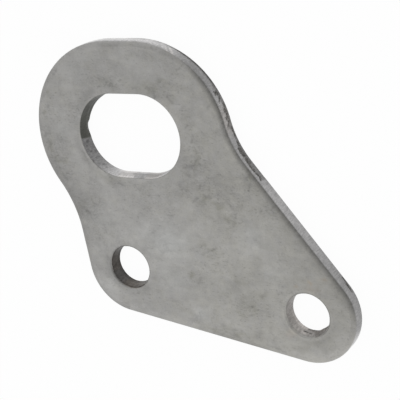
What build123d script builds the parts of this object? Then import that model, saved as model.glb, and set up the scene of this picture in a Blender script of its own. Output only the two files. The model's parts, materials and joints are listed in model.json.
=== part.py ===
from build123d import *
import os

# Engine lift support bracket: one flat plate, blanked and pierced from sheet steel in a press.
# Frame: the plate lies on its back face in the XY plane, front face up along +Z.
# The origin is midway between the two bolt-hole axes, on the back face.
# +X runs from the bolt hole below the lifting eye to the outer one, and +Y towards the eye.
# All lengths are in millimetres and all angles in degrees.

# Plate
PLATE_THICKNESS = 4.5

# Bolt holes and the rounded corners about them
BOLT_SPACING = 60.0
BOLT_HOLE_DIAMETER = 13.0
BOLT_CORNER_RADIUS = 15.1

# Lifting eye: an obround above the inner bolt hole, its long axis rising to the right
EYE_WIDTH = 25.0
EYE_LENGTH = 34.0
EYE_HEIGHT = 42.9
EYE_TILT = 9.0
EYE_WALL = 16.0

# Sides: each is a line off its bolt corner that runs through a hollow into the lifting head
LEFT_SIDE_LEAN = 14.0
LEFT_HOLLOW_RADIUS = 34.0
RIGHT_SIDE_LEAN = 46.0
RIGHT_HOLLOW_RADIUS = 28.0

# Sheared rim of the blank: drawn down in a broad roll at the front, torn inwards at the back
RIM_ROLL_WIDTH = 1.5
RIM_ROLL_DEPTH = 0.35
RIM_ROLL_FACE_RADIUS = 2.6
RIM_ROLL_WALL_RADIUS = 0.4
RIM_TEAR_HEIGHT = 1.6
RIM_TEAR_SETBACK = 0.05

# Pierced openings: a straight land at the back, a slight flare above it, and a rolled mouth at each face
LAND_HEIGHT = 2.0
EYE_FLARE = 0.45
BOLT_HOLE_FLARE = 0.3
EYE_FRONT_ROLL = 0.3
BOLT_HOLE_FRONT_ROLL = 0.9
BACK_ROLL = 0.1

# How far a point may lie off a side's line and still count as on it
ON_LINE = 0.01

# Places worked out from the sizes above
INNER_HOLE = Vector(-BOLT_SPACING / 2, 0)
OUTER_HOLE = Vector(BOLT_SPACING / 2, 0)
EYE_CENTRE = INNER_HOLE + Vector(0, EYE_HEIGHT)
EYE_SEPARATION = EYE_LENGTH - EYE_WIDTH
LEFT_NORMAL = Vector(-1, 0).rotate(Axis.Z, LEFT_SIDE_LEAN)
RIGHT_NORMAL = Vector(1, 0).rotate(Axis.Z, RIGHT_SIDE_LEAN)


def eye_shape(grow=0.0):
    """The lifting eye's obround in its place, grown outwards on every side."""
    with BuildSketch() as eye:
        with Locations(Location(EYE_CENTRE, (0, 0, EYE_TILT))):
            SlotCenterToCenter(EYE_SEPARATION, EYE_WIDTH + 2 * grow)
    return eye.sketch


def bolt_hole_shape(grow=0.0):
    """A bolt hole's circle about the origin, grown outwards."""
    with BuildSketch() as hole:
        Circle(BOLT_HOLE_DIAMETER / 2 + grow)
    return hole.sketch


def side_line(corner, normal):
    """A side that touches a bolt corner's arc: its foot there, and its end deep in the head."""
    foot = corner + normal * BOLT_CORNER_RADIUS
    along = Vector(-normal.Y, normal.X)
    return foot, foot + along * (EYE_CENTRE - corner).dot(along)


def inner_corner(blank, foot, normal):
    """The sharp corner where a side's line runs into the head: the last of its vertices from the foot."""
    reach = foot.dot(normal)
    on_side = blank.vertices().filter_by(lambda vertex: abs(Vector(vertex).dot(normal) - reach) < ON_LINE)
    return on_side.sort_by_distance(foot)[-1]


def blank_outline():
    """The flat blank: the head about the eye, the bolt corners, the web and its two hollows."""
    left_foot, left_end = side_line(INNER_HOLE, LEFT_NORMAL)
    right_foot, right_end = side_line(OUTER_HOLE, RIGHT_NORMAL)
    drop = Vector(0, -BOLT_CORNER_RADIUS)
    web = [INNER_HOLE + drop, OUTER_HOLE + drop, right_foot, right_end, left_end, left_foot]
    with BuildSketch() as blank:
        with Locations(INNER_HOLE, OUTER_HOLE):
            Circle(BOLT_CORNER_RADIUS)
        add(eye_shape(EYE_WALL))
        with BuildLine():
            Polyline(*web, close=True)
        make_face()
        fillet(inner_corner(blank, left_foot, LEFT_NORMAL), LEFT_HOLLOW_RADIUS)
        fillet(inner_corner(blank, right_foot, RIGHT_NORMAL), RIGHT_HOLLOW_RADIUS)
    return blank.sketch


def edges_at(solid, height, select=Select.ALL):
    """The edges that lie flat at one height, of all of the solid or of its last operation."""
    return solid.edges(select).filter_by_position(Axis.Z, height, height)


def sheared_blank():
    """The solid blank, its rim torn slightly inwards at the back and rolled over at the front."""
    with BuildPart() as blank:
        add(blank_outline())
        extrude(amount=PLATE_THICKNESS)
        back = blank.faces().sort_by(Axis.Z)[0]
        chamfer(edges_at(blank, 0), RIM_TEAR_SETBACK, RIM_TEAR_HEIGHT, reference=back)
        front = blank.faces().sort_by(Axis.Z)[-1]
        chamfer(edges_at(blank, PLATE_THICKNESS), RIM_ROLL_WIDTH, RIM_ROLL_DEPTH, reference=front)
        fillet(edges_at(blank, PLATE_THICKNESS - RIM_ROLL_DEPTH), RIM_ROLL_WALL_RADIUS)
        fillet(edges_at(blank, PLATE_THICKNESS), RIM_ROLL_FACE_RADIUS)
    return blank.part


def slug(shape, flare):
    """What piercing takes out of one opening: a straight land, and a flare to the front."""
    land = Plane.XY.offset(LAND_HEIGHT)
    front = Plane.XY.offset(PLATE_THICKNESS)
    with BuildPart() as metal:
        add(shape())
        extrude(amount=LAND_HEIGHT)
        add(loft([land * shape(), front * shape(flare)], ruled=True))
    return metal.part


def lift_plate():
    """The finished bracket: the sheared blank, pierced, with rolled mouths on both faces."""
    with BuildPart() as plate:
        add(sheared_blank())
        add(slug(eye_shape, EYE_FLARE), mode=Mode.SUBTRACT)
        fillet(edges_at(plate, PLATE_THICKNESS, Select.LAST), EYE_FRONT_ROLL)
        with Locations(INNER_HOLE, OUTER_HOLE):
            add(slug(bolt_hole_shape, BOLT_HOLE_FLARE), mode=Mode.SUBTRACT)
        fillet(edges_at(plate, PLATE_THICKNESS, Select.LAST), BOLT_HOLE_FRONT_ROLL)
        back = plate.faces().sort_by(Axis.Z)[0]
        fillet([edge for wire in back.inner_wires() for edge in wire.edges()], BACK_ROLL)
    return plate.part


os.makedirs("parts", exist_ok=True)
export_step(lift_plate(), "parts/lift_plate.step")
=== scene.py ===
import json
import random
from math import atan2, ceil, cos, degrees, dist, pi, radians, sin, sqrt, tan
import bmesh
import bpy
import numpy as np
from mathutils import Matrix, Vector, noise
from mathutils.geometry import delaunay_2d_cdt
from mathutils.kdtree import KDTree


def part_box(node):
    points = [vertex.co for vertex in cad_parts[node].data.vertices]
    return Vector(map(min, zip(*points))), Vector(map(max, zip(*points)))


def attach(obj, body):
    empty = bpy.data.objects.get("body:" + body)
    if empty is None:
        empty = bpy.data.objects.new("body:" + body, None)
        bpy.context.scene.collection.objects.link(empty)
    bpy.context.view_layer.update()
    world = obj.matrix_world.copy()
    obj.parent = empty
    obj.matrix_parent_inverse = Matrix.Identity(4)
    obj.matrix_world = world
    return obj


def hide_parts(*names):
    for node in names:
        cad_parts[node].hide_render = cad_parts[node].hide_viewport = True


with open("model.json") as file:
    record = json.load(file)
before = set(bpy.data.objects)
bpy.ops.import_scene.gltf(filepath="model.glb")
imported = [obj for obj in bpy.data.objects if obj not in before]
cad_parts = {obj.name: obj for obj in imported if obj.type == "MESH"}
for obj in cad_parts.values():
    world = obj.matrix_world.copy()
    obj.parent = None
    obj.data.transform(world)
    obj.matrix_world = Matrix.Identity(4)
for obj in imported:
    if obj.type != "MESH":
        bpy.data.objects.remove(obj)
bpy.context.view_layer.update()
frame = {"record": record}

# An engine lift support bracket: one pressed-steel plate lying on its back face on a pale studio floor.
# The dressed plate replaces the plain solid with the same sizes, and adds the torn patches of its
# sheared walls, the break in the eye's wall, its cloudy stains and its fine sheared streaks.
# Lengths are in millimetres and angles in degrees. A place on a curve is its walk: the distance round
# it, anticlockwise. The rim's starts at the left end of the base edge, a bolt hole's at its lowest
# point, and the eye's at the left end of its straight bottom. The last two are below zero before that.

MM = 0.001
NODE = "lift_plate"

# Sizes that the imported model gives
BOLTS = next(mount for mount in frame["record"]["mounts"] if mount["name"] == "bolts")
BOLT_SPACING = BOLTS["dims"]["spacing_x_mm"]
BOLT_HOLE_RADIUS = BOLTS["dims"]["hole_r_mm"]
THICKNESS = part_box(NODE)[1][2] / MM

# Outline
BOLT_CORNER_RADIUS = 15.1
EYE_WIDTH = 25.0
EYE_LENGTH = 34.0
EYE_HEIGHT = 42.9
EYE_TILT = 9.0
EYE_WALL = 16.0
LEFT_SIDE_LEAN = 14.0
LEFT_HOLLOW_RADIUS = 34.0
RIGHT_SIDE_LEAN = 46.0
RIGHT_HOLLOW_RADIUS = 28.0

# Section of the sheared rim
RIM_ROLL_WIDTH = 1.5
RIM_ROLL_DEPTH = 0.35
RIM_ROLL_FACE_RADIUS = 2.6
RIM_ROLL_WALL_RADIUS = 0.4
RIM_TEAR_HEIGHT = 1.6
RIM_TEAR_SETBACK = 0.05
BURR_RADIUS = 0.04

# Section of the pierced openings
LAND_HEIGHT = 2.0
EYE_FLARE = 0.45
BOLT_HOLE_FLARE = 0.3
EYE_FRONT_ROLL = 0.3
BOLT_HOLE_FRONT_ROLL = 0.9
BACK_ROLL = 0.1

# Mesh spacing
STATION_STEP = 0.3
WALL_STEP = 0.25
FRONT_GRID = 0.4
BACK_GRID = 1.2
GRID_CLEARANCE = 0.5
SHARP_ANGLE = 38.0
SAME_PLACE = 1e-7

# Unevenness of the sheared walls. Its noise is wound round a cylinder, and ends before the faces
WALL_WAVE_LENGTH = 2.4
WALL_WAVE_DEPTH = 0.035
WINDING_RADIUS = 20.0
WAVE_ENDS = (0.6, 0.9)

# Ragged noise along the walls: how fast it changes with height, and its lengths
RAGGED_RISE = 0.7
STREAK_LENGTH = 0.45
SCUFF_LENGTH = 0.5
TEAR_LENGTH = 0.55
FINE_LENGTH = 0.6
LIP_LENGTH = 0.8
COARSE_LENGTH = 1.7

# Wear and painted light of the rim's wall. Three kinds of row are used for all the walls:
# torn patches: walk and height of the middle, half length, half height, rise per walk
# stretches: first and last walk, softness of the ends, strength
# bands: a stretch, the heights at which it starts and is full, and its strength
RIM_TEARS = (
    (95.5, 0.7, 1.7, 0.45, 0), (98, 0.35, 1, 0.25, 0), (134.9, 2.05, 0.6, 0.47, -0.7),
    (136.1, 2, 0.95, 0.4, 0.35), (138.5, 2.27, 1.6, 0.48, 0), (140.6, 1.57, 0.6, 0.9, 0),
    (143.2, 1.45, 0.8, 1, 0), (144.8, 1.52, 0.8, 1.12, 0), (146.6, 0.95, 0.9, 0.45, 0),
    (150, 0.62, 2, 0.33, 0), (152.9, 1.65, 1, 0.4, -1.05), (154.6, 1.5, 0.4, 0.88, 0),
    (155.5, 1, 0.5, 0.5, 0), (156.8, 1.2, 0.6, 0.8, 0), (158.2, 0.77, 0.8, 0.37, 0),
    (160.4, 1.6, 1, 0.42, -0.84), (162.3, 1.55, 0.7, 1.05, 0), (172.5, 0.38, 9.5, 0.2, 0),
    (140.4, 1.9, 0.9, 0.6, -0.35), (141.4, 1.75, 0.7, 0.75, -0.3),
)
TEAR_DEPTH = 0.28
TEAR_RAG = 0.5
TEAR_FADE = (0.6, 1.2)

# Further torn patches where the photograph doesn't look: how many, and between which walks. Then the
# limits of their heights, half lengths, half heights and rises
HIDDEN_TEARS = ((9, 4, 60), (8, 232, 300))
HIDDEN_TEAR_LIMITS = ((0.1, 0.5), (1.2, 4.5), (0.4, 1), (-0.08, 0.08))
HIDDEN_TEAR_SEED = 5

# The break band on the right flank: its stretch, and pairs of walk and height of its upper edge
BREAK_BAND = (134, 182.5, 1, 1)
BREAK_LINE = (
    (133.5, 0.6), (134.6, 2.7), (136.5, 2.3), (138, 2.8), (141, 2.4), (143, 2.6), (145.5, 2.7),
    (147, 1.4), (150, 1.3), (152.2, 2.7), (154, 2.3), (157, 2.3), (159, 1.7), (160.5, 2.2), (162.5, 2.1),
    (166, 1.5), (176, 1.4), (183.5, 0.7),
)
BREAK_LINE_SWAY = 0.35
BREAK_BAND_FADE = (0.7, 0.25)
BREAK_BAND_DEPTH = 0.07
BREAK_BAND_SHADE = 0.22
BREAK_BAND_TEAR = 0.3

# Tone of the rim's wall along it, painted light and shade: walk, share of the wall's own tone. The bright
# stretches are painted highlights
RIM_WALL_PAINTED_LIGHT = (
    (0, 0.97), (15, 0.95), (25, 1), (35, 0.96), (44, 0.9), (55, 1.13), (62, 1.5), (72, 1.85), (78, 1.9),
    (83, 0.94), (87, 0.99), (93, 0.99), (97, 0.92), (103, 1.02), (112, 1.18), (127, 1.28), (136, 1.1),
    (148, 1.03), (154, 1.14), (159, 1.14), (165, 0.91), (173, 0.85), (177, 1.06), (183, 1.7), (188, 2.05),
    (198, 2.15), (203, 2.07), (208, 2.6), (212, 1.82), (217, 1), (226, 1),
)
RIM_WALL_TOP = (4.3, 3.8)
# Bands of painted light and shade over the height of the rim's wall
RIM_PAINTED_LIGHT_BANDS = (
    (195, 212, 2, 1.7, 1, 0.10), (183, 195, 2, 1.4, 0.8, -0.13), (196, 220, 2, 1.8, 3.8, -0.22),
    (84, 160, 3, 2.6, 1, -0.07),
)
RIM_STREAKS = (150, 178, 1.5, 0.20)
RIM_BROWN = (150, 158, 2, 0.3)

# The painted highlight of the bright wall dims to the front from a slanted, ragged line: height and sway
# of its start and end
FADE_STRETCH = (182, 216, 3, 1)
FADE_HEIGHTS = ((2.4, 1), (4.1, 0.6))
FADE_SLANT = 1.1
FADE_SHADE = 0.36
FADE_SWING = 0.16

# Shiny slanted scuffs at the end of the right flank
SCUFFS = ((178, 179, 0.3, 1, 1.8, 1), (179.9, 180.5, 0.3, 1, 1.8, 0.7), (179.1, 179.8, 0.2, 1, 1.8, -0.4))
SCUFF_SLANT = 0.9
SCUFF_SHINE = 0.32
SCUFF_SWING = 0.4
SCUFF_BROWN = 0.2

# Painted shade under the rim's rolled edge: a stretch, the heights at which it starts, is full, fades and
# ends, and its strength
ROLL_PAINTED_SHADE_LINES = (
    (88, 172, 4, 3.7, 3.98, 4.22, 4.38, 1), (203, 213, 1, 4.1, 4.2, 4.3, 4.42, 0.45),
    (160, 174, 2, 3.3, 3.8, 4.1, 4.3, 0.5),
)
ROLL_PAINTED_SHADE = 0.34
ROLL_PAINTED_SHADE_COARSE_SWING = 0.35
ROLL_PAINTED_SHADE_FINE_SWING = 0.4

# Wear of the eye's wall: the break at angles round its left end, where it starts, is full, fades and
# ends, and the burr above it
BREAK_ANGLES = (171.5, 180, 183, 198)
BREAK_DEPTH = 0.49
BREAK_HEIGHT = 1.3
BREAK_TORN_FROM = 0.05
BREAK_TEAR = 0.3
EYE_BURR = (124, 166, 8, 1.4, 0.3, 0.12)

# The eye's dark run, painted shade with a greenish tint, at angles round its left end too. Its end slants
# and sways
DARK_START = (95, 120)
DARK_END = 195.0
DARK_END_FADE = (0.6, 1)
DARK_SLANT = 0.8
DARK_SWAY = 0.6
DARK_SWAY_LENGTH = 0.4
DARK_RUN_PAINTED_SHADE = 0.25
DARK_BANDS = ((0, 154, 14, -2, -1, -0.27), (0, 154, 14, 2.8, 1.2, -0.10))

# The rest of the eye's wall, along its bottom: walk and tone first, then bands. The bright tones and the
# bands are painted highlights, the dim tones painted shade
EYE_PAINTED_LIGHT = (
    (-20, 0.56), (-16, 0.61), (-14, 0.61), (-11.8, 0.79), (-9.6, 0.83), (-7.4, 1), (-5.2, 1.45),
    (-3, 1.66), (0, 1.74), (2.5, 1.54), (5, 1.33), (7, 0.98), (8.5, 1.01), (11, 0.98), (14, 1.08),
    (18, 1.2),
)
EYE_HIGHLIGHT_BANDS = (
    (-3, 13, 1.5, 1.5, 1, 0.25), (4.5, 16, 1, 1.5, 1, 0.32), (1.5, 16, 1, 1.9, 2.7, 0.20),
)
EYE_STREAKS = (-18, -5, 1, 0.25)
EYE_FLECKS = (
    (-15.8, 3.3, 0.4, 0.3, 0), (-16.8, 2.3, 0.4, 0.7, 0), (-13.7, 2.8, 0.3, 0.35, 0),
    (-11, 4.2, 0.4, 0.4, 0), (-11.3, 2, 0.25, 0.8, 0), (-8.2, 2.1, 0.4, 0.5, 0), (-13, 1.2, 0.6, 0.3, 0),
)
EYE_FLECK_SHADE = 0.35
EYE_WALL_TOP = 0.25
EYE_BROWN = ((-2, 4, 1, 0.15), (7.6, 13.5, 0.5, 0.25))

# The darker notch in the eye's bottom, between painted highlights, and the painted highlights on the lips
# beside it. The notch's sides have a walk at the front face, a change of walk per depth, and softness
# before and after
NOTCH_SIDES = ((4.6, -0.9, 0.3, 0.3), (7.7, -0.57, 0.2, 0.1))
NOTCH_HEIGHTS = (0.9, 1.6)
NOTCH_SHADE = 0.19
EYE_LIP_HIGHLIGHTS = ((-1.5, 4, 0.5, 3.3, 3.8, 0.24), (8, 13, 0.6, 3.3, 3.8, 0.36))

# Painted shadow lines along the eye's mouth
EYE_MOUTH_SHADOWS = ((-4.5, 0.5, 0.5, 4.36, 4.44, 0.22), (8, 13, 0.6, 4.36, 4.44, 0.22))
EYE_MOUTH_SHADOW_INSETS = (0.5, 0.2)

# Wear of the bolt holes' walls: their streaks are this much shorter than those of the other walls
HOLE_STREAK_CROWDING = 3.0

# The inner hole: walk and tone, bands and flecks, and the uneven lip at which its wall starts. Its dark
# tones are painted shade, and its bands painted shade that deepens towards the back face
INNER_SHADE_TONES = (
    (-14, 0.2), (-12.7, 0.2), (-11, 0.24), (-9.4, 0.24), (-7.7, 0.28), (-6, 0.28), (-4.25, 0.3),
    (-2.55, 0.36), (-1.5, 0.37), (-0.9, 0.42), (0.85, 0.455), (2.55, 0.41), (4.25, 0.35), (5.95, 0.3),
    (9, 0.3),
)
INNER_SHADE_BANDS = ((-30, 30, 1, 2.2, 0.9, -0.27), (-30, -11.75, 1.25, 2.2, 0.9, -0.32))
INNER_STREAKS = 0.3
INNER_FLECKS = (
    (1.8, 3.2, 0.7, 0.35, 0.2), (0.4, 1.5, 0.5, 0.4, 0.3), (-8.6, 2.4, 0.5, 0.7, 0),
)
INNER_FLECK_SHADE = 0.3
INNER_LIP_DEPTH = 0.38
INNER_LIPS = ((-8, 5.5, 1, 0.12), (-0.5, 5.5, 1, 0.08))
INNER_LIP_SWAY = 0.08
INNER_LIP_FADE = (0.08, 0.1)
INNER_BROWN = 0.9
INNER_LESS_BROWN = (-7, -2.6, 0.7, 0.5)
INNER_BURR = (-30, 30, 1, 0.5, 0.1, 0.05)

# The outer hole, with one large torn patch that has seams along its height. Its bands are painted
# highlights
OUTER_TONE = 0.90
OUTER_LIGHT = (-5, -0.8, 0.9, 0.25)
OUTER_HIGHLIGHT_BANDS = (
    (-1.9, 1.5, 0.5, 2.3, 2.8, 0.22), (-8.5, -1, 0.9, 1.6, 1, 0.26), (-5.2, -1.6, 0.7, 1.6, 1, 0.10),
)
OUTER_STREAKS = 0.2
OUTER_FLECKS = (
    (-1.1, 2.35, 0.8, 0.3, -0.1), (0.6, 2.5, 0.5, 0.25, 0.4), (-0.6, 0.7, 0.5, 0.25, 0),
)
OUTER_FLECK_SHADE = 0.75
OUTER_WALL_TOP = (0.35, 0.9)
OUTER_TEARS = (
    (1, 0.6, 1.1, 0.6, 0), (2.1, 1.6, 0.7, 1, 0.9), (2.8, 1.9, 0.8, 1.6, 0.5), (3.6, 1.9, 1, 2.2, 0),
    (4.9, 1.9, 1.2, 2.3, 0), (6.5, 1.7, 1.4, 2.2, 0),
)
OUTER_PATCH_TONE = 0.58
OUTER_PATCH_SEAMS = ((0.8, 1.5, 0.3, 0.40), (3, 3.8, 0.3, -0.3))
OUTER_PATCH_SWING = 0.5
OUTER_PATCH_DEPTH = 0.1
OUTER_PATCH_HEIGHTS = (1, 1.6)
OUTER_PATCH_TEAR = 0.25
OUTER_BROWN = 0.42
OUTER_PATCH_BROWN = 0.25
OUTER_BURR = (3.1, 7.2, 0.9, 1.5, 0.4, 0.3)

# Broad shades beside the curves, partly painted shade and light on the rolled edges and the face near
# them, partly dirt: first and last walk, middle and reach inwards over the face, change of tone
SHADE_SOFTNESS = 2.5
RIM_SHADES = (
    (-8, 30, 0, 2.2, 0.19), (48, 60, 0.6, 2, 0.21), (60, 79, 0, 2.6, 0.34), (31, 45, 0, 3, -0.05),
    (90, 131, 2, 1.3, -0.1), (134, 139, 0.5, 2.4, -0.06), (88, 135, 0.6, 0.5, 0.06),
    (141, 149, 0.9, 1, 0.13), (150, 161, 1.2, 1.6, -0.05), (148, 153, 0.6, 0.6, 0.07),
    (160, 172, 2, 1, -0.06), (163, 169, 0.6, 0.6, 0.06), (172, 181, 0.6, 0.9, 0.09),
    (182, 197, 0.4, 1.2, 0.2), (185, 205, 1.2, 0.3, -0.06), (198, 214, 0.3, 0.8, 0.23),
    (78, 86, 0.4, 0.8, 0.16), (204, 224, 0, 2.4, 0.1), (224, 248, 1.2, 1.2, 0.04),
    (256, 271, 1.2, 3.4, -0.13), (271, 287, 1.2, 3.4, -0.09), (287, 296, 1.2, 3, -0.04),
    (296, 306, 3, 3, 0.07),
)
EYE_SHADES = (
    (-34, -28.5, 2.2, 1.6, -0.18), (-27, -23, 2.2, 1.2, 0.07), (4, 14, 4.2, 1.6, 0.1),
    (8.8, 11.6, 1.3, 0.8, -0.22), (-33, -10, 0.75, 0.35, 0.035), (-19, -9, 2, 1.4, -0.14),
    (-19, -5, 0.6, 0.6, 0.1), (-9, -5.5, 2.5, 2.4, 0.1), (-5, -1, 2.5, 1.4, -0.1), (-1, 12, 0.4, 1, 0.14),
)
INNER_SHADES = (
    (-12, 0, 1.4, 1.2, -0.14), (0, 10, 2, 1, -0.06), (-18, -12, 1.6, 1.2, -0.05),
    (-14, -9, 0.3, 0.7, 0.14), (0, 4, 0.75, 0.2, 0.25), (-7, -2, 4, 2, 0.09),
)
OUTER_SHADES = (
    (-16, 6, 0.5, 0.7, 0.22), (-7, -2, 0.6, 0.4, 0.05), (-11, -3, 1.7, 0.6, -0.03),
    (-2.5, 8, 1.9, 1.1, -0.12),
)

# Soft, ragged spots of the front face: x, y, half width, half depth, strength
STAINS = (
    (-6.5, 39, 1, 3, 0.5), (-4, 28.5, 2.2, 1.2, 0.6), (0, 28, 1.4, 0.8, 0.7), (3.5, 24, 2.4, 1.3, 0.6),
    (10, 38, 0.7, 0.7, 0.8), (17, 29, 1.6, 0.3, 0.7), (-5, 14, 1.5, 1.5, 0.7), (12, -2, 3, 1.6, 0.45),
    (8, 5, 2.4, 1.2, 0.5), (16, 2.5, 1.5, 1.5, 0.35), (0, 2, 1.8, 1, 0.4), (4, 0, 1.6, 1.2, 0.4),
    (-58, 34, 1.2, 2.4, 0.7), (-60.5, 44.5, 0.9, 0.9, 0.8), (-59.5, 51, 0.9, 0.9, 0.8),
    (-54.5, 30.5, 2.2, 1, 0.7), (-38, 58, 6, 1.6, 0.3), (-24, 59, 7, 1.8, 0.5), (-19, 62, 2, 1.2, 0.6),
    (-15, 57, 1.4, 1.4, 0.5), (-49, 14, 1.2, 2, 0.7), (-46, 18, 1.2, 1.4, 0.35), (-36, 28.5, 6, 1.3, 0.5),
    (-27, 27, 5, 1.4, 0.2), (0, -13, 3.6, 0.8, 0.6), (9, -12.5, 2.6, 0.7, 0.6), (9, -5, 1.4, 1, 0.5),
    (-8.3, 3.4, 1.3, 1.4, 0.8), (-2.5, 12.6, 2.6, 0.8, 0.6),
)
BLOOMS = (
    (-17, 12, 9, 6, 1), (-15, 0, 5, 4, 0.6), (12, 20, 5.5, 5.5, 0.6), (19, 11, 5, 5, 0.4),
    (-5, -9, 4, 2.5, 0.7), (-54, 41, 2.5, 4, 0.6), (-39, 14, 4, 3, 0.4), (-48, 59, 4, 3, 0.5),
    (-40, -9, 5, 3, 0.6),
)
RUST_SPECKS = (
    (26, 8, 1, 0.7, 0.7), (30, 10.5, 1.2, 0.8, 0.8), (34.5, 12.5, 1, 0.9, 0.7), (25.6, -6.8, 2, 1.4, 0.4),
    (31, 8.6, 2.4, 1.1, 0.4),
)
DIRT = (
    (-57, 32, 4.5, 6.5, 1), (-53, 26, 4, 4, 0.8), (-45, 17, 5, 4, 0.9), (-60, 45, 2, 8, 0.5),
    (-38, 58, 7, 2.2, 0.8), (-20, 58.5, 8, 2.5, 0.9), (-30, 69, 14, 1.8, 0.5), (-48.5, 47, 2.5, 6, 0.5),
    (-8, 39, 5, 4.5, 1), (-3, 31, 8, 5, 0.9), (5, 25, 4, 6, 0.5), (-10.5, 52, 2.5, 5, 0.6),
    (-28, 27.5, 9, 2, 0.5), (-1, 13, 6, 2.5, 0.6), (12, -2, 6, 4.5, 0.8), (-6, 2, 4, 3, 0.5),
    (5, -12, 9, 2, 0.9), (23, -13, 6, 1.5, 0.7), (11, 36, 4, 2.5, 0.6), (15, 29, 3.5, 2.5, 0.4),
    (30, 7.5, 6, 2, 0.4), (-38, -9, 5, 3, 0.4), (-25, -12, 10, 1.5, 0.4), (-42, 33, 4, 3, 0.6),
)
SPOT_FALL = 1.3
FRONT_DEPTHS = (0.6, 0.1)

# Small marks on the face by their half widths: the ends of each and its strength
MARKS = {
    0.3: (
        (-8.5, 38.2, -6.2, 41.4, 0.5), (0, 37.4, 1.6, 37, 0.5), (10, 34.5, 10.4, 37, 0.6),
        (13.8, 28.3, 14.3, 29.6, 0.6), (17.3, 30.6, 18.2, 31.4, 0.6), (-18.5, 8, -14.5, 9.8, 0.35),
        (-1, 6, 2.2, 7, 0.4), (4, -12.8, 9, -13.5, 0.8), (17.5, -13, 24, -13.8, 0.6),
        (-36.7, 57.2, -36.1, 58.3, 0.8), (-33.2, 59.4, -32.8, 59.8, 0.7), (-14, 66, -12.4, 67.4, 0.6),
        (-28, 27.6, -25.4, 27, 0.4), (-23, 26, -22, 25.2, 0.4), (-38.6, 29.6, -36, 28.5, 0.6),
        (-43.9, 34.2, -43.4, 35.4, 0.7), (-41.4, 30.6, -40.4, 31.4, 0.7), (-46.4, 35, -45.6, 33.2, 0.4),
        (-8.9, 45, -8.7, 46.8, 0.7), (-8.2, 44, -7, 42.6, 0.6), (-6, 49.6, -5, 48.6, 0.5),
        (-10.8, 49, -10.4, 50.4, 0.5), (-3.8, 56.4, -3.2, 57.6, 0.7), (-1.8, 54, -1.2, 54.9, 0.6),
        (-12.6, 54.4, -11.8, 55.2, 0.5), (-13.2, 41.6, -12.6, 43, 0.5), (-10.6, 35.2, -9, 34.6, 0.5),
        (-3, 35.4, -1.2, 36, 0.4), (-12.8, 31.4, -11.8, 30.2, 0.5), (-40.8, 55.8, -40.2, 56.8, 0.5),
        (-28.6, 58, -27, 58.4, 0.4), (13, 14.4, 14.8, 13.8, 0.35), (-16.6, 20.6, -15.2, 21, 0.4),
        (-22, 13.6, -20.6, 14.4, 0.35), (20.4, 4.6, 21.6, 5.2, 0.35), (18.6, -8.6, 19.6, -9.4, 0.5),
        (-14.6, -7.4, -13, -7, 0.35), (-16, 68.2, -11, 66, 0.5),
    ),
    0.35: (
        (-11.5, 37, -8.5, 38.2, 0.6), (-6.5, 31, -5.5, 32.6, 0.6), (-4, 29.4, -2, 29.8, 0.6),
        (-8.2, 26.8, -6.5, 28.5, 0.6), (3.2, 29.6, 6.2, 26.6, 0.4), (-4.6, 10.8, -0.6, 13.6, 0.55),
        (10, -3, 13, -1.6, 0.4), (-56.6, 57.4, -55.4, 59, 0.6), (-33.8, 27.4, -31.5, 26.8, 0.7),
        (-48.6, 19.2, -46, 18.3, 0.4), (-43.6, 19.6, -42.4, 17.6, 0.5), (-42.8, 32.2, -42, 33, 0.9),
        (-1.7, 59.2, -1.1, 58.1, 0.5),
    ),
    0.4: (
        (6.2, 26.6, 6, 23, 0.45), (6, 23, 3.2, 20.8, 0.4), (-5.6, 1, -5, 3, 0.45),
        (11.5, -5.2, 13.2, -4.4, 0.5), (15, 2.2, 16.6, 3.6, 0.4), (6.3, -11.4, 7.2, -11.2, 0.6),
        (-59.6, 33, -58, 35.2, 0.7), (-57.6, 29.2, -55, 27.6, 0.6), (-54.2, 25.8, -52.6, 24.4, 0.6),
        (-59, 46.8, -58.7, 47.2, 0.7), (-61, 44.2, -60.9, 44.7, 0.7), (-24, 59, -21, 58.4, 0.5),
        (-17, 57.6, -15, 56, 0.6), (-45.6, 15.6, -44, 14.4, 0.6), (-0.6, 57.2, -0.1, 56.1, 0.7),
        (0.2, 55.4, 0.6, 54.4, 0.8), (1, 53.7, 1.3, 52.7, 0.6), (-2.4, 55.9, -1.8, 54.8, 0.4),
    ),
    0.5: (
        (9.1, 38, 9.4, 38.5, 1), (-60.4, 37.2, -60.1, 38, 1),
    ),
    0.7: (
        (-8.8, 3.4, -8, 3.8, 0.5),
    ),
}
MARK_DEPTH = 0.30

# Noise that shifts the edges of spots and of marks: length, two seeds and reach
SPOT_WARPS = ((3, 0, 7.5, 1.6), (1.1, 3.1, 9.2, 0.5))
MARK_WARPS = ((0.8, 2.2, 5.5, 0.35),)

# Broad changes of tone over the face: x, y, half width, half depth, change
SHADES = (
    (-14, 5, 24, 14, 0.07), (-4, -11, 26, 5, 0.02), (-4, 34, 12, 7, -0.05), (-50, 28, 7, 11, -0.05),
    (-41, 10, 6, 12, -0.05), (-22, 60, 24, 8, -0.04), (40, 8, 6, 10, -0.05), (5, 25, 12, 8, -0.02),
    (-27, -12, 8, 4, 0.04),
)
SHADE_FALL = 1.0

# Fields that the steel is painted by
FIELDS = ("walk", "height", "wall", "tone", "tear", "brown", "green", "stain", "bloom", "dirt")

# Steel: colours
FACE_COOL = (0.319, 0.315, 0.306, 1)
FACE_WARM = (0.324, 0.318, 0.297, 1)
WALL_COLOUR = (0.320, 0.3163, 0.3155, 1)
TORN_DARK = (0.050, 0.048, 0.044, 1)
TORN_LIGHT = (0.240, 0.230, 0.212, 1)
TEAR_COVER = 0.9

# Steel: how its fields tint or cover the colour below them
TINTS = (
    ("stain", "MULTIPLY", (0.81, 0.813, 0.76, 1)), ("bloom", "MIX", (0.35, 0.35, 0.342, 1)),
    ("brown", "MULTIPLY", (1, 0.9, 0.8, 1)), ("green", "MULTIPLY", (0.97, 1, 0.88, 1)),
)

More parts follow.
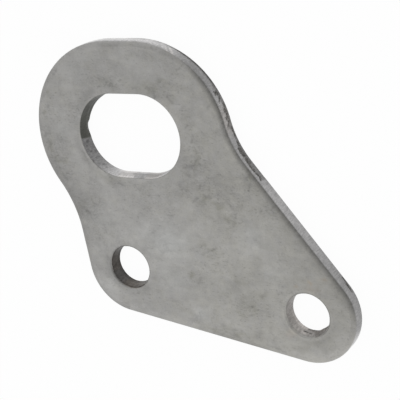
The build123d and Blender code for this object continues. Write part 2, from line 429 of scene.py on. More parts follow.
# Steel: noises, as features per millimetre, detail and roughness
TIDE_NOISE = (0.11, 4, 0.6)
SPECK_NOISE = (1.3, 2, 0.5)
STREAK_NOISE = (1, 4, 0.65)
RELIEF_NOISE = (0.9, 5, 0.6)

# Steel: the same for noises that are spread from one range over to another, which comes after them
CLOUDS = (0.055, 2, 0.5, 0.3, 0.7, -0.07, 0.07)
MOTTLE = (0.2, 8, 0.76, 0.25, 0.75, -0.15, 0.15)
GRAIN = (2, 3, 0.7, 0.3, 0.7, -0.06, 0.06)
CROWDS = (0.09, 2, 0.5, 0.3, 0.7, -0.05, 0.05)
TIDE_PATCHES = (0.07, 3, 0.5, 0.46, 0.62, 0, 0.09)
DIRT_FILM = (1, 5, 0.75, 0.36, 0.66, 0, 0.22)
WARMTH = (0.35, 4, 0.7, 0.3, 0.7, -0.6, 0.6)
PITS = (1.9, 3, 0.6, 0.36, 0.66, 0, 1)
POLISH = (0.5, 4, 0.5, 0.3, 0.7, -0.05, 0.05)

# Steel: other ranges, spread the same way
STREAK_SPREAD = (0.3, 0.7, -0.26, 0.26)
SPECK_SPREAD = (0.60, 0.74, 0, 0.16)
TIDE_SPREAD = (0, 0.03, 1, 0)
WARM_SIDE_SPREAD = (-25, 5, 0.1, 0.75)

# Steel: the rest. Roughness and metallic are those of whole and of torn steel
GRAIN_TURN = -15.0
GRAIN_STRETCH = (0.8, 1.25, 1)
STREAK_STRETCH = (2.6, 0.45, 1)
TIDE_PATCH_SHIFT = (31, 17, 5)
DIRT_SPECKS = 0.05
ROUGHNESS = (0.45, 0.8)
METALLIC = (0.85, 0.35)
RELIEF = 0.02
RELIEF_STRENGTH = 0.5

# Camera. A side, here and below, is an azimuth and an elevation
CAMERA_AIM = np.array([-5.694, 28.093, 4.499])
CAMERA_DISTANCE = 359.588
CAMERA_SIDE = (41.7709, 53.2604)
CAMERA_ROLL = -124.6311
CAMERA_LENS = 111.657
CAMERA_NEAREST = 10.0

# World: its softly darker side, the angles from there at which that starts and is full, and the light
# outside and inside it
DARK_SIDE = (48, 58)
DARK_SIDE_EDGE = (52, 22)
WORLD_LIGHT = (0.92, 0.5)

# Key light: distance and size in metres, power in watts
KEY_SIDE = (225, 52)
KEY_DISTANCE = 0.7
KEY_SIZE = 0.5
KEY_POWER = 0.25

# Floor: its side in metres, and how far it lies below the plate
FLOOR_COLOUR = 0.95
FLOOR_SIDE = 4.0
FLOOR_GLOW_SHARE = 0.96
WHITE_RAYS = ("Camera", "Glossy", "Transmission")
FLOOR_DROP = 0.02


# Measures and noise

def towards(angle):
    """Unit vectors at angles in degrees, anticlockwise from +X."""
    turn = np.radians(angle)
    return np.stack([np.cos(turn), np.sin(turn)], axis=-1)


def heading(vectors):
    """The angles of vectors in degrees, from 0 up to 360."""
    return np.degrees(np.arctan2(vectors[..., 1], vectors[..., 0])) % 360


def smooth(low, high, value):
    """Changes smoothly from 0 at low to 1 at high, whichever of them is larger."""
    share = np.clip((value - low) / (high - low), 0.0, 1.0)
    return share * share * (3 - 2 * share)


def hill(start, full, fade, end, value):
    """0 up to start, 1 from full to fade, and 0 again from end on."""
    return smooth(start, full, value) * (1 - smooth(fade, end, value))


def plateau(low, high, soft, value):
    """1 between low and high, and 0 outside, with soft ends."""
    return hill(low - soft, low + soft, high - soft, high + soft, value)


def waves(places, length, seed=0.0):
    """Smooth noise between about -1 and 1 at each place, its features about one length across."""
    spots = places.reshape(-1, 3) / length + (seed, -seed, seed)
    return np.array([noise.noise(Vector(spot)) for spot in spots]).reshape(places.shape[:-1])


def ragged(walk, height, length):
    """Noise for the walls, which runs a little along their height."""
    return waves(np.stack(np.broadcast_arrays(walk, height * RAGGED_RISE, 0.0), axis=-1), length)


def read(table, walk):
    """Values at each walk from a table of pairs."""
    return np.interp(walk, *zip(*table))


# Places

INNER_HOLE = np.array([-BOLT_SPACING / 2, 0.0])
OUTER_HOLE = np.array([BOLT_SPACING / 2, 0.0])
EYE_CENTRE = INNER_HOLE + (0.0, EYE_HEIGHT)
EYE_RADIUS = EYE_WIDTH / 2
EYE_HALF_SPINE = (EYE_LENGTH - EYE_WIDTH) / 2
EYE_LEFT = EYE_CENTRE - towards(EYE_TILT) * EYE_HALF_SPINE
EYE_RIGHT = EYE_CENTRE + towards(EYE_TILT) * EYE_HALF_SPINE
HEAD_RADIUS = EYE_RADIUS + EYE_WALL


# Curves

class Stations:
    """Points round a closed curve: each one's anchor, direction out of the metal, radius and walk."""

    def __init__(self, rows):
        self.anchors, self.outward, self.radii, self.walk = map(np.array, zip(*rows))

    def at(self, inset):
        """The points, moved into the metal by an inset."""
        return self.anchors + self.outward * (self.radii - inset)[..., None]


def trace(runs):
    """Stations along runs: each one's length, first and last anchor, first and last angle, and radius."""
    rows = []
    travelled = 0.0
    for length, first, last, first_angle, last_angle, radius in runs:
        count = ceil(length / STATION_STEP - SAME_PLACE)
        for share in (step / count for step in range(count)):
            outward = towards(first_angle + (last_angle - first_angle) * share)
            rows.append((first + (last - first) * share, outward, radius, travelled + length * share))
        travelled += length
    return Stations(rows)


def hollow_centre(corner, lean_angle, radius, head_centre, turn):
    """Centre of the hollow that touches a side's line and the head's arc from outside."""
    normal = towards(lean_angle)
    start = corner + normal * (BOLT_CORNER_RADIUS + radius)
    along = np.array([-normal[1], normal[0]]) * turn
    gap = start - head_centre
    half = gap @ along
    reach = gap @ gap - (HEAD_RADIUS + radius) ** 2
    return start - along * (half + sqrt(half * half - reach))


def outline():
    """Stations round the plate's outline, anticlockwise from the left end of the base edge."""
    right = RIGHT_SIDE_LEAN
    left = 180 + LEFT_SIDE_LEAN
    top = EYE_TILT + 90
    right_hollow = hollow_centre(OUTER_HOLE, right, RIGHT_HOLLOW_RADIUS, EYE_RIGHT, 1)
    left_hollow = hollow_centre(INNER_HOLE, left, LEFT_HOLLOW_RADIUS, EYE_LEFT, -1)
    right_touch = heading(right_hollow - EYE_RIGHT)
    left_touch = heading(left_hollow - EYE_LEFT)
    corner = BOLT_CORNER_RADIUS
    arcs = (
        (OUTER_HOLE, corner, -90, right),
        (right_hollow, -RIGHT_HOLLOW_RADIUS, right, right_touch),
        (EYE_RIGHT, HEAD_RADIUS, right_touch, top),
        (EYE_LEFT, HEAD_RADIUS, top, left_touch),
        (left_hollow, -LEFT_HOLLOW_RADIUS, left_touch, left),
        (INNER_HOLE, corner, left, 270),
    )
    runs = []
    end = INNER_HOLE + (0.0, -corner)
    for centre, radius, first, last in arcs:
        start = centre + towards(first) * radius
        line = np.linalg.norm(start - end)
        arc = radians(abs(last - first)) * abs(radius)
        runs.append((line, centre + end - start, centre, first, first, radius))
        runs.append((arc, centre, centre, first, last, radius))
        end = centre + towards(last) * radius
    return trace(runs)


def opening(left, right, radius):
    """Stations round an obround or round opening, anticlockwise from the lowest point of its right end."""
    span = np.linalg.norm(right - left)
    bottom = 90 + heading(right - left)
    top = bottom + 180
    half_turn = pi * radius
    return trace((
        (half_turn, right, right, bottom, top, -radius),
        (span, right, left, top, top, -radius),
        (half_turn, left, left, top, bottom + 360, -radius),
        (span, left, right, bottom, bottom, -radius),
    ))


def from_bottom(walk):
    """The eye's walk, counted from the left end of its straight bottom, below zero before it."""
    girth = 2 * pi * EYE_RADIUS + 4 * EYE_HALF_SPINE
    start = 2 * pi * EYE_RADIUS + 2 * EYE_HALF_SPINE
    return (walk - start + girth / 2) % girth - girth / 2


def from_lowest(walk):
    """A bolt hole's walk, counted from its lowest point, below zero on its left."""
    girth = 2 * pi * BOLT_HOLE_RADIUS
    return (walk + girth / 2) % girth - girth / 2


# Sections, as rows of inset and height from the front face to the back face

def arc_rows(centre, radius, first, last, count):
    """Rows along an arc of a section. Angle 0 is upwards, and 90 is outwards."""
    turns = np.radians(np.linspace(first, last, count))
    return [(centre[0] - radius * sin(turn), centre[1] + radius * cos(turn)) for turn in turns]


def straight_rows(first, last):
    """Rows along a straight stretch of a section, without its first one."""
    count = max(1, ceil(dist(first, last) / WALL_STEP))
    return np.linspace(first, last, count + 1)[1:].tolist()


def rim_section():
    """The rim's section: over the roll, down the wall, and round the back burr."""
    slope = degrees(atan2(RIM_ROLL_DEPTH, RIM_ROLL_WIDTH))
    start = RIM_ROLL_WIDTH + RIM_ROLL_FACE_RADIUS * tan(radians(slope / 2))
    foot = THICKNESS - RIM_ROLL_DEPTH - RIM_ROLL_WALL_RADIUS * tan(radians((90 - slope) / 2))
    rows = arc_rows((start, THICKNESS - RIM_ROLL_FACE_RADIUS), RIM_ROLL_FACE_RADIUS, 0, slope, 6)
    rows += arc_rows((RIM_ROLL_WALL_RADIUS, foot), RIM_ROLL_WALL_RADIUS, slope, 90, 7)
    rows += straight_rows(rows[-1], (0.0, RIM_TEAR_HEIGHT))
    rows += straight_rows(rows[-1], (RIM_TEAR_SETBACK, BURR_RADIUS))
    rows += arc_rows((RIM_TEAR_SETBACK + BURR_RADIUS, BURR_RADIUS), BURR_RADIUS, 90, 180, 3)[1:]
    return np.array(rows)


def mouth_section(flare, front_roll):
    """An opening's section: over its mouth, down its flare and its land, and round the back edge."""
    slope = 90 - degrees(atan2(flare, THICKNESS - LAND_HEIGHT))
    start = flare + front_roll * tan(radians(slope / 2))
    rows = arc_rows((start, THICKNESS - front_roll), front_roll, 0, slope, 6)
    rows += straight_rows(rows[-1], (0.0, LAND_HEIGHT))
    rows += straight_rows(rows[-1], (0.0, BACK_ROLL))
    rows += arc_rows((BACK_ROLL, BACK_ROLL), BACK_ROLL, 90, 180, 4)[1:]
    return np.array(rows)


# Wear and painted light of the walls. Each function below gives the dents of a wall, and its painted
# fields, painted light and shade among them

def stretches(walk, *rows):
    """The strengths of stretches along a curve, added up."""
    return sum(strength * plateau(first, last, soft, walk) for first, last, soft, strength in rows)


def banded(walk, height, *rows):
    """The strengths of bands of a wall, added up."""
    return sum(strength * plateau(first, last, soft, walk) * smooth(start, full, height)
               for first, last, soft, start, full, strength in rows)


def torn(walk, height, tears):
    """How torn a wall is, from 0 to 1, by a list of torn patches with ragged edges."""
    rag = ragged(walk, height, TEAR_LENGTH)
    most = np.zeros_like(walk)
    for middle, level, half_length, half_height, rise in tears:
        along = (walk - middle) / half_length
        across = (height - level - rise * (walk - middle)) / half_height
        reach = np.maximum(np.abs(along), np.abs(across)) + rag * TEAR_RAG
        most = np.maximum(most, 1 - smooth(*TEAR_FADE, reach))
    return most


def hidden_tears():
    """Torn patches for the parts of the rim that the photograph doesn't look at."""
    draw = random.Random(HIDDEN_TEAR_SEED)
    tears = ()
    for count, first, last in HIDDEN_TEARS:
        for _ in range(count):
            limits = ((first, last), *HIDDEN_TEAR_LIMITS)
            tears += (tuple(draw.uniform(*pair) for pair in limits),)
    return tears


def break_band(walk, height):
    """The dull band where the sheet broke instead of shearing: from the back up to an uneven line."""
    top = read(BREAK_LINE, walk) + BREAK_LINE_SWAY * ragged(walk, 0.0, LIP_LENGTH)
    below, above = BREAK_BAND_FADE
    return stretches(walk, BREAK_BAND) * (1 - smooth(top - below, top + above, height))


def shades(walk, inset, patches):
    """Change of tone beside a curve, by a list of patches."""
    return sum(plateau(first, last, SHADE_SOFTNESS, walk) * change * np.exp(-((inset - mid) / reach) ** 2)
               for first, last, mid, reach, change in patches)


def joined(wall, tone, shade):
    """The wall's tone, and the face's shade where the wall ends."""
    return (1 + wall * (tone - 1)) * (1 + (1 - wall) * shade)


def rim_wear_and_light(stations, walk, height, inset):
    """Wear of the rim's wall: tears, break band, scuffs, painted bright and dim stretches, and painted
    shade under its rolled edge.
    """
    depth = THICKNESS - height
    tear = torn(walk, height, RIM_TEARS + hidden_tears())
    band = break_band(walk, height)
    fine = ragged(walk, 0.0, FINE_LENGTH)
    coarse = ragged(walk, 0.0, COARSE_LENGTH)
    sway = ragged(walk - depth * FADE_SLANT, 0.0, LIP_LENGTH)
    fade = smooth(*(level + give * sway for level, give in FADE_HEIGHTS), height)
    scuff = banded(walk - depth * SCUFF_SLANT, height, *SCUFFS)

    # Painted light and shade of the wall, along it and by height
    tone = read(RIM_WALL_PAINTED_LIGHT, walk) * (1 - BREAK_BAND_SHADE * band) * (1 + banded(walk, height, *RIM_PAINTED_LIGHT_BANDS))
    # The painted highlight dims towards the front
    tone *= 1 - (FADE_SHADE + FADE_SWING * coarse) * fade * stretches(walk, FADE_STRETCH)
    tone *= 1 + stretches(walk, RIM_STREAKS) * ragged(walk, height, STREAK_LENGTH)
    tone *= 1 + scuff * (SCUFF_SHINE + SCUFF_SWING * ragged(walk, height, SCUFF_LENGTH))
    wall = smooth(*RIM_WALL_TOP, height)
    tone = joined(wall, tone, shades(walk, inset, RIM_SHADES))

    # Painted shade along the rolled edge
    roll_shade = np.zeros_like(walk)
    for first, last, soft, *heights, strength in ROLL_PAINTED_SHADE_LINES:
        roll_shade = np.maximum(roll_shade, strength * plateau(first, last, soft, walk) * hill(*heights, height))
    tone *= 1 - ROLL_PAINTED_SHADE * roll_shade * (1 + ROLL_PAINTED_SHADE_COARSE_SWING * coarse + ROLL_PAINTED_SHADE_FINE_SWING * fine)

    dent = TEAR_DEPTH * tear + BREAK_BAND_DEPTH * band
    brown = (SCUFF_BROWN * np.maximum(scuff, 0.0) + stretches(walk, RIM_BROWN)) * wall
    return dent, dict(wall=wall, tone=tone, tear=np.maximum(tear, BREAK_BAND_TEAR * band), brown=brown)


def eye_wear_and_light(stations, walk, height, inset):
    """Wear of the eye's wall: its break, a dark run of painted shade, and a bottom with painted highlights
    and a darker notch.
    """
    depth = THICKNESS - height
    angle = heading(stations.at(0.0) - EYE_LEFT)
    on_left = (stations.anchors == EYE_LEFT).all(axis=-1)
    dent = BREAK_DEPTH * hill(*BREAK_ANGLES, angle) * on_left * (1 - smooth(0.0, BREAK_HEIGHT, height))
    dent -= banded(angle, height, EYE_BURR) * on_left

    bottom = from_bottom(walk)
    sides = [(side + shift * depth - before, side + shift * depth + after)
             for side, shift, before, after in NOTCH_SIDES]
    notch = hill(*sides[0], *sides[1], bottom)
    # Painted highlights and shade along the eye's bottom
    tone = read(EYE_PAINTED_LIGHT, bottom) * (1 + banded(bottom, height, *EYE_HIGHLIGHT_BANDS))
    tone *= 1 - NOTCH_SHADE * notch * smooth(*NOTCH_HEIGHTS, height)
    # Painted highlights on the lips beside the notch
    tone *= 1 + banded(bottom, height, *EYE_LIP_HIGHLIGHTS) * (1 - notch)
    tone *= 1 + stretches(bottom, EYE_STREAKS) * ragged(walk, height, SCUFF_LENGTH)
    tone *= 1 - EYE_FLECK_SHADE * torn(bottom, height, EYE_FLECKS)

    # The dark run: painted shade over the left end of the eye's wall
    end = DARK_END + DARK_SLANT * depth + DARK_SWAY * ragged(height, 0.0, DARK_SWAY_LENGTH)
    before, after = DARK_END_FADE
    dark = on_left * hill(*DARK_START, end - before, end + after, angle)
    tone += dark * (DARK_RUN_PAINTED_SHADE * (1 + banded(angle, height, *DARK_BANDS)) - tone)
    wall = smooth(THICKNESS, THICKNESS - EYE_WALL_TOP, height)
    tone = joined(wall, tone, shades(bottom, inset, EYE_SHADES))
    # Painted shadow lines along the eye's mouth
    tone *= 1 - banded(bottom, height, *EYE_MOUTH_SHADOWS) * smooth(*EYE_MOUTH_SHADOW_INSETS, inset)
    brown = stretches(bottom, *EYE_BROWN) * wall
    tear = BREAK_TEAR * (dent > BREAK_TORN_FROM)
    return dent, dict(wall=wall, tone=tone, tear=tear, brown=brown, green=dark * wall)


def inner_hole_wear_and_shade(stations, walk, height, inset):
    """Wear of the inner bolt hole's wall: darkened by painted shade, and brown, with a small burr."""
    along = from_lowest(walk)
    lip = THICKNESS - INNER_LIP_DEPTH + stretches(along, *INNER_LIPS)
    lip = lip + INNER_LIP_SWAY * ragged(along, 0.0, FINE_LENGTH)
    above, below = INNER_LIP_FADE
    wall = smooth(lip + above, lip - below, height)
    # Painted shade of the hole's wall, deeper towards the back
    tone = read(INNER_SHADE_TONES, along) * (1 + banded(along, height, *INNER_SHADE_BANDS))
    tone *= 1 + INNER_STREAKS * ragged(along * HOLE_STREAK_CROWDING, height, SCUFF_LENGTH)
    tone *= 1 - INNER_FLECK_SHADE * torn(along, height, INNER_FLECKS)
    tone = joined(wall, tone, shades(along, inset, INNER_SHADES))
    brown = (INNER_BROWN - stretches(along, INNER_LESS_BROWN)) * wall
    return -banded(along, height, INNER_BURR), dict(wall=wall, tone=tone, brown=brown)


def outer_hole_wear_and_light(stations, walk, height, inset):
    """Wear of the outer bolt hole's wall: lighter, with painted highlights, one torn patch and a burr."""
    along = from_lowest(walk)
    tone = OUTER_TONE + stretches(along, OUTER_LIGHT)
    # Painted highlights low on the wall and near its front
    tone *= 1 + banded(along, height, *OUTER_HIGHLIGHT_BANDS)
    tone *= 1 + OUTER_STREAKS * ragged(along * HOLE_STREAK_CROWDING, height, SCUFF_LENGTH)
    tone *= 1 - OUTER_FLECK_SHADE * torn(along, height, OUTER_FLECKS)
    patch = torn(along, height, OUTER_TEARS)
    seams = stretches(height, *OUTER_PATCH_SEAMS)
    grain = OUTER_PATCH_SWING * ragged(along, height, SCUFF_LENGTH)
    tone += patch * (OUTER_PATCH_TONE * (1 + seams + grain) - tone)
    first, last = OUTER_WALL_TOP
    wall = smooth(THICKNESS - first, THICKNESS - last, height)
    tone = joined(wall, tone, shades(along, inset, OUTER_SHADES))
    dent = OUTER_PATCH_DEPTH * patch * smooth(*OUTER_PATCH_HEIGHTS, height)
    dent -= banded(along, height, OUTER_BURR)
    brown = (OUTER_BROWN + OUTER_PATCH_BROWN * patch) * wall
    return dent, dict(wall=wall, tone=tone, tear=patch * OUTER_PATCH_TEAR, brown=brown)


# Wear of the front face

def warped(places, warps):
    """Places in the plane, shifted by smooth noise."""
    spots = places[:, :2].copy()
    for length, *seeds, reach in warps:
        spots += np.transpose([waves(places, length, seed) for seed in seeds]) * reach
    return spots


def cover(spots, rows, fall):
    """How strongly each soft spot of a list covers each place."""
    x, y, half_width, half_depth, strength = np.array(rows).T[..., None]
    away = ((spots[:, 0] - x) / half_width) ** 2 + ((spots[:, 1] - y) / half_depth) ** 2
    return strength * np.exp(-fall * away)


def face_marks(places):
    """How dark the small marks make each place: ragged short strokes."""
    spots = warped(places, MARK_WARPS)
    mark = np.zeros(len(places))
    rows = [(half_width, *row) for half_width, group in MARKS.items() for row in group]
    for half_width, x1, y1, x2, y2, strength in rows:
        run = np.array([x2 - x1, y2 - y1])
        share = np.clip((spots - (x1, y1)) @ run / (run @ run), 0.0, 1.0)
        away = np.hypot(*(spots - (x1, y1) - share[:, None] * run).T)
        mark = np.maximum(mark, strength * np.exp(-(away / half_width) ** 2))
    return mark


# Objects and the plate's skin

def new_object(name, data):
    """Puts a new object into the scene."""
    made = bpy.data.objects.new(name, data)
    bpy.context.collection.objects.link(made)
    return made


def in_metal(points, rings):
    """Which points lie between the rings, so that they have an odd number of ring edges on their right."""
    answer = np.zeros(len(points), dtype=bool)
    for ring in rings:
        for (x1, y1), (x2, y2) in zip(ring[:, :2], np.roll(ring, -1, axis=0)[:, :2]):
            spans = (y1 > points[:, 1]) != (y2 > points[:, 1])
            if spans.any():
                crossing = x1 + (points[:, 1] - y1) * (x2 - x1) / (y2 - y1)
                answer ^= spans & (points[:, 0] < crossing)
    return answer


def nearest(points, net):
    """The number of each net place's nearest point, and how far away that is."""
    tree = KDTree(len(points))
    for number, (x, y) in enumerate(points):
        tree.insert((x, y, 0.0), number)
    tree.balance()
    found = [tree.find((x, y, 0.0))[1:] for x, y in net]
    return map(np.array, zip(*found))


def near_shades(net, curves):
    """Change of tone of the face's places by the nearest station of each curve."""
    change = np.zeros(len(net))
    for stations, patches, measure in curves:
        numbers, inset = nearest(stations.at(0.0), net)
        change += shades(measure(stations.walk)[numbers], inset, patches)
    return change


class Skin:
    """The plate's vertices and faces, with the fields that its steel is painted by."""

    def __init__(self):
        self.places = []
        self.fields = {name: [] for name in FIELDS}
        self.faces = []

    def add(self, places, **fields):
        """Adds vertices and gives their numbers."""
        first = sum(map(len, self.places))
        self.places.append(places)
        for name in FIELDS:
            self.fields[name].append(np.broadcast_to(fields.get(name, 0.0), len(places)))
        return np.arange(first, first + len(places))

    def add_wall(self, stations, section, wear_and_light):
        """Adds a wall round a curve, and gives the numbers of its front and back rings."""
        walk, inset, height = np.broadcast_arrays(stations.walk, section[:, :1], section[:, 1:])
        dent, fields = wear_and_light(stations, walk, height, inset)
        turn = walk / WINDING_RADIUS
        wound = np.stack([np.cos(turn), np.sin(turn), height / WINDING_RADIUS], axis=-1) * WINDING_RADIUS
        back, front = WAVE_ENDS
        fade = hill(0.0, back, THICKNESS - front, THICKNESS, height)
        rough = WALL_WAVE_DEPTH * fade * (0.5 + 0.5 * waves(wound, WALL_WAVE_LENGTH))
        places = np.concatenate([stations.at(inset + dent + rough), height[..., None]], axis=-1)
        fields = {name: value.ravel() for name, value in fields.items()}
        rings = self.add(places.reshape(-1, 3), walk=walk.ravel(), height=height.ravel(), **fields)
        rings = rings.reshape(walk.shape)
        after = np.roll(rings, -1, axis=1)
        quads = np.stack([rings[:-1], rings[1:], after[1:], after[:-1]], axis=-1)
        self.faces += quads.reshape(-1, 4).tolist()
        return rings[0], rings[-1]

    def add_face(self, rings, height, step, curves=()):
        """Fills a flat face between its rings with a fine, even net, shaded along its curves."""
        ring_places = [self.all_places()[ring] for ring in rings]
        low = ring_places[0].min(axis=0)
        high = ring_places[0].max(axis=0)
        rows = np.arange(low[1], high[1], step * sqrt(0.75))
        columns = np.arange(low[0], high[0], step)
        net = np.array([(x + step / 2 * (row % 2), y) for row, y in enumerate(rows) for x in columns])
        _, away = nearest(np.concatenate(ring_places)[:, :2], net)
        net = net[in_metal(net, ring_places) & (away > GRID_CLEARANCE)]
        places = np.column_stack([net, np.full(len(net), height)])
        inner = self.add(places, walk=net[:, 0], height=net[:, 1], tone=1 + near_shades(net, curves))
        numbers = np.concatenate([*rings, inner])
        flat = [Vector(place[:2]) for place in self.all_places()[numbers]]
        edges = []
        first = 0
        for ring in rings:
            edges += [(first + k, first + (k + 1) % len(ring)) for k in range(len(ring))]
            first += len(ring)
        _, _, triangles, origins, _, _ = delaunay_2d_cdt(flat, edges, [], 1, SAME_PLACE)
        triangles = numbers[[source[0] for source in origins]][np.array(triangles)]
        middles = self.all_places()[triangles].mean(axis=1)
        self.faces += triangles[in_metal(middles, ring_places)].tolist()

    def all_places(self):
        """Every vertex so far."""
        return np.concatenate(self.places)

    def painted(self):
        """The fields, with the front face's stains, marks and shades added."""
        places = self.all_places()
        fields = {name: np.concatenate(values) for name, values in self.fields.items()}
        on_front = smooth(*FRONT_DEPTHS, THICKNESS - places[:, 2])
        spots = warped(places, SPOT_WARPS)
        for name, rows in (("stain", STAINS), ("bloom", BLOOMS), ("dirt", DIRT), ("brown", RUST_SPECKS)):
            fields[name] = np.maximum(fields[name], cover(spots, rows, SPOT_FALL).max(axis=0) * on_front)
        fields["tone"] *= 1 + cover(places, SHADES, SHADE_FALL).sum(axis=0) * on_front
        fields["tone"] *= 1 - MARK_DEPTH * face_marks(places) * on_front
        return fields

    def mesh(self, name):
        """The skin as a mesh with its fields, smooth but for its sharp edges."""
        mesh = bpy.data.meshes.new(name)
        mesh.from_pydata((self.all_places() * MM).tolist(), [], self.faces)
        for field, values in self.painted().items():
            layer = mesh.attributes.new(field, "FLOAT", "POINT")
            layer.data.foreach_set("value", values.astype(np.float32))
        work = bmesh.new()
        work.from_mesh(mesh)
        bmesh.ops.recalc_face_normals(work, faces=work.faces)
        work.to_mesh(mesh)
        work.free()
        mesh.shade_smooth()
        mesh.set_sharp_from_angle(angle=radians(SHARP_ANGLE))
        return mesh


def dressed_plate():
    """The plate as one fine mesh, with its fields."""
    skin = Skin()
    rim = outline()
    eye = opening(EYE_LEFT, EYE_RIGHT, EYE_RADIUS)
    inner = opening(INNER_HOLE, INNER_HOLE, BOLT_HOLE_RADIUS)
    outer = opening(OUTER_HOLE, OUTER_HOLE, BOLT_HOLE_RADIUS)
    hole_section = mouth_section(BOLT_HOLE_FLARE, BOLT_HOLE_FRONT_ROLL)
    fronts, backs = zip(
        skin.add_wall(rim, rim_section(), rim_wear_and_light),
        skin.add_wall(eye, mouth_section(EYE_FLARE, EYE_FRONT_ROLL), eye_wear_and_light),
        skin.add_wall(inner, hole_section, inner_hole_wear_and_shade),
        skin.add_wall(outer, hole_section, outer_hole_wear_and_light),
    )
    curves = (
        (rim, RIM_SHADES, np.array),
        (eye, EYE_SHADES, from_bottom),
        (inner, INNER_SHADES, from_lowest),
        (outer, OUTER_SHADES, from_lowest),
    )
    skin.add_face(fronts, THICKNESS, FRONT_GRID, curves)
    skin.add_face(backs, 0.0, BACK_GRID)
    return new_object("dressed_lift_plate", skin.mesh("dressed_lift_plate"))


# Materials

class Wires:
    """Builds a material's or a world's nodes, and fills their inputs with values or with links."""

    def __init__(self, owner):
        owner.use_nodes = True
        self.tree = owner.node_tree
        self.tree.nodes.clear()

    def add(self, kind, inputs=(), **settings):
        """Adds a node and gives its outputs. Its inputs are pairs of a socket and a value."""
        made = self.tree.nodes.new("ShaderNode" + kind)
        for name, value in settings.items():
            setattr(made, name, value)
        for key, value in inputs:
            if isinstance(value, bpy.types.NodeSocket):
                self.tree.links.new(value, made.inputs[key])
            else:
                made.inputs[key].default_value = value
        return made.outputs

    def maths(self, operation, first, *others):
        """Math nodes that take in one value after another."""
        for other in others:
            first = self.add("Math", ((0, first), (1, other)), operation=operation)[0]
        return first

    def vector(self, operation, *values):
        """A Vector Math node."""
        return self.add("VectorMath", enumerate(values), operation=operation)[0]

    def field(self, name):
        """One of the plate's painted fields."""
        return self.add("Attribute", attribute_name=name)["Fac"]

    def spread(self, value, low, high, first, last, **settings):
        """Carries a value from low to high over to first to last."""
        limits = enumerate((value, low, high, first, last))
        return self.add("MapRange", limits, **settings)[0]

    def noise(self, place, scale, detail, roughness, *limits):
        """A Noise texture, from 0 to 1 or spread over limits."""
        inputs = (("Vector", place), ("Scale", scale), ("Detail", detail), ("Roughness", roughness))
        value = self.add("TexNoise", inputs)["Fac"]
        return self.spread(value, *limits) if limits else value

    def between(self, share, first, second):
        """A value between two others."""
        return self.add("Mix", ((0, share), (2, first), (3, second)))[0]

    def blend(self, share, first, second, mode="MIX"):
        """A colour between two others, or the first one tinted by the second."""
        inputs = ((0, share), (6, first), (7, second))
        return self.add("Mix", inputs, data_type="RGBA", blend_type=mode)[2]


def grey(value):
    """An opaque grey."""
    return (value, value, value, 1.0)


def tide_marks(wires, spot):
    """Thin wandering lines that drying left, here and there."""
    from_line = wires.maths("SUBTRACT", wires.noise(spot, *TIDE_NOISE), 0.5)
    from_line = wires.add("Math", ((0, from_line),), operation="ABSOLUTE")[0]
    patches = wires.noise(wires.vector("ADD", spot, TIDE_PATCH_SHIFT), *TIDE_PATCHES)
    return wires.maths("MULTIPLY", wires.spread(from_line, *TIDE_SPREAD), patches)


def specks(wires, spot):
    """Small dark pits, denser in some parts than in others, and a film of dirt."""
    dirt = wires.field("dirt")
    dirty = wires.maths("MULTIPLY", dirt, DIRT_SPECKS)
    reach = wires.maths("ADD", wires.noise(spot, *SPECK_NOISE), wires.noise(spot, *CROWDS), dirty)
    film = wires.maths("MULTIPLY", dirt, wires.noise(spot, *DIRT_FILM))
    return wires.maths("ADD", wires.spread(reach, *SPECK_SPREAD), film)


def face_shift(wires, spot):
    """How much lighter or darker clouds, grain, drying lines and specks make the face."""
    turn = (0.0, 0.0, radians(GRAIN_TURN))
    inputs = (("Vector", spot), ("Rotation", turn), ("Scale", GRAIN_STRETCH))
    grain_spot = wires.add("Mapping", inputs)[0]
    clouds = wires.noise(spot, *CLOUDS)
    light = wires.maths("ADD", clouds, wires.noise(grain_spot, *MOTTLE), wires.noise(spot, *GRAIN))
    return wires.maths("SUBTRACT", light, tide_marks(wires, spot), specks(wires, grain_spot))


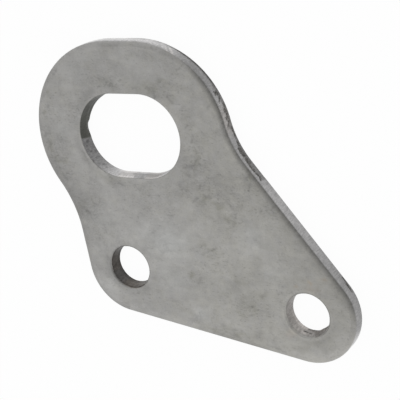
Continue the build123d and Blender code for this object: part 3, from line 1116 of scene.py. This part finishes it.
def steel():
    """Dull tumbled steel: cloudy faces, streaked sheared walls, dark torn patches and brown spots."""
    material = bpy.data.materials.new("plate_steel")
    wires = Wires(material)
    place = wires.add("TexCoord")["Object"]
    spot = wires.vector("MULTIPLY", place, (1 / MM, 1 / MM, 1 / MM))
    wall_place = wires.add("CombineXYZ", ((0, wires.field("walk")), (1, wires.field("height"))))[0]
    streaks = wires.noise(wires.vector("MULTIPLY", wall_place, STREAK_STRETCH), *STREAK_NOISE)
    wall = wires.field("wall")
    tear = wires.field("tear")
    shift = wires.between(wall, face_shift(wires, spot), wires.spread(streaks, *STREAK_SPREAD))
    # The tone field holds painted light and shade of the walls and edges, and the face's changes of tone
    # and marks
    value = wires.maths("MULTIPLY", wires.maths("ADD", shift, 1.0), wires.field("tone"))

    side = wires.add("SeparateXYZ", ((0, spot),))[0]
    warmth = wires.maths("ADD", wires.spread(side, *WARM_SIDE_SPREAD), wires.noise(spot, *WARMTH))
    colour = wires.blend(wall, wires.blend(warmth, FACE_COOL, FACE_WARM), WALL_COLOUR)
    for name, mode, tint in TINTS:
        colour = wires.blend(wires.field(name), colour, tint, mode)
    colour = wires.add("VectorMath", ((0, colour), (3, value)), operation="SCALE")[0]
    torn_colour = wires.blend(wires.noise(spot, *PITS), TORN_DARK, TORN_LIGHT)
    colour = wires.blend(wires.maths("MULTIPLY", tear, TEAR_COVER), colour, torn_colour)

    roughness = wires.maths("ADD", wires.between(tear, *ROUGHNESS), wires.noise(spot, *POLISH))
    metallic = wires.between(tear, *METALLIC)
    relief = wires.maths("ADD", wires.noise(spot, *RELIEF_NOISE), wires.maths("MULTIPLY", streaks, wall))
    inputs = (("Strength", RELIEF_STRENGTH), ("Distance", RELIEF * MM), ("Height", relief))
    normal = wires.add("Bump", inputs)[0]
    inputs = (("Base Color", colour), ("Metallic", metallic), ("Roughness", roughness), ("Normal", normal))
    skin = wires.add("BsdfPrincipled", inputs)[0]
    wires.add("OutputMaterial", (("Surface", skin),))
    return material


# Studio

def aim(azimuth, elevation):
    """A direction at an azimuth from +X and an elevation above the floor."""
    level = cos(radians(elevation))
    x, y = towards(azimuth) * level
    return Vector((x, y, sin(radians(elevation))))


def place_camera():
    """The camera at the photograph's angle."""
    camera = new_object("camera", bpy.data.cameras.new("camera"))
    camera.data.lens = CAMERA_LENS
    camera.data.clip_start = CAMERA_NEAREST * MM
    back = aim(*CAMERA_SIDE)
    upright = back.to_track_quat("Z", "Y").to_matrix().to_4x4()
    centre = Vector(CAMERA_AIM * MM) + back * CAMERA_DISTANCE * MM
    roll = Matrix.Rotation(radians(CAMERA_ROLL), 4, back)
    camera.matrix_world = Matrix.Translation(centre) @ roll @ upright
    bpy.context.scene.camera = camera


def light_world():
    """A plain white world with one softly darker side, above and behind the camera."""
    world = bpy.data.worlds.new("studio")
    bpy.context.scene.world = world
    wires = Wires(world)
    inputs = ((0, wires.add("TexCoord")["Generated"]), (1, aim(*DARK_SIDE)))
    towards_dark = wires.add("VectorMath", inputs, operation="DOT_PRODUCT")["Value"]
    edge = (cos(radians(angle)) for angle in DARK_SIDE_EDGE)
    level = wires.spread(towards_dark, *edge, *WORLD_LIGHT, interpolation_type="SMOOTHSTEP")
    glow = wires.add("Background", (("Color", grey(1.0)), ("Strength", level)))[0]
    wires.add("OutputWorld", (("Surface", glow),))


def place_key():
    """A large soft light on the far side of the plate from the camera."""
    key = bpy.data.lights.new("key", "AREA")
    key.size = KEY_SIZE
    key.energy = KEY_POWER
    lamp = new_object("key", key)
    direction = aim(*KEY_SIDE)
    lamp.location = direction * KEY_DISTANCE
    lamp.rotation_euler = direction.to_track_quat("Z", "Y").to_euler()


def floor():
    """The pale floor: plain white to the camera and in reflections, but for the plate's faint shadow."""
    material = bpy.data.materials.new("floor_white")
    wires = Wires(material)
    rays = wires.add("LightPath")
    seen = wires.maths("MAXIMUM", *(rays["Is %s Ray" % kind] for kind in WHITE_RAYS))
    share = wires.maths("MULTIPLY", seen, FLOOR_GLOW_SHARE)
    matt = wires.add("BsdfDiffuse", (("Color", grey(FLOOR_COLOUR)),))[0]
    glow = wires.add("Emission", (("Color", grey(1.0)), ("Strength", 1.0)))[0]
    mixed = wires.add("MixShader", ((0, share), (1, matt), (2, glow)))[0]
    wires.add("OutputMaterial", (("Surface", mixed),))
    bpy.ops.mesh.primitive_plane_add(size=FLOOR_SIDE, location=(0, 0, -FLOOR_DROP * MM))
    ground = bpy.context.object
    ground.name = "floor"
    ground.data.materials.append(material)
    return ground


bpy.context.scene.view_settings.view_transform = "Standard"
place_camera()
light_world()
place_key()
floor()

plate = dressed_plate()
plate.data.materials.append(steel())
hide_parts(NODE)
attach(plate, "root")
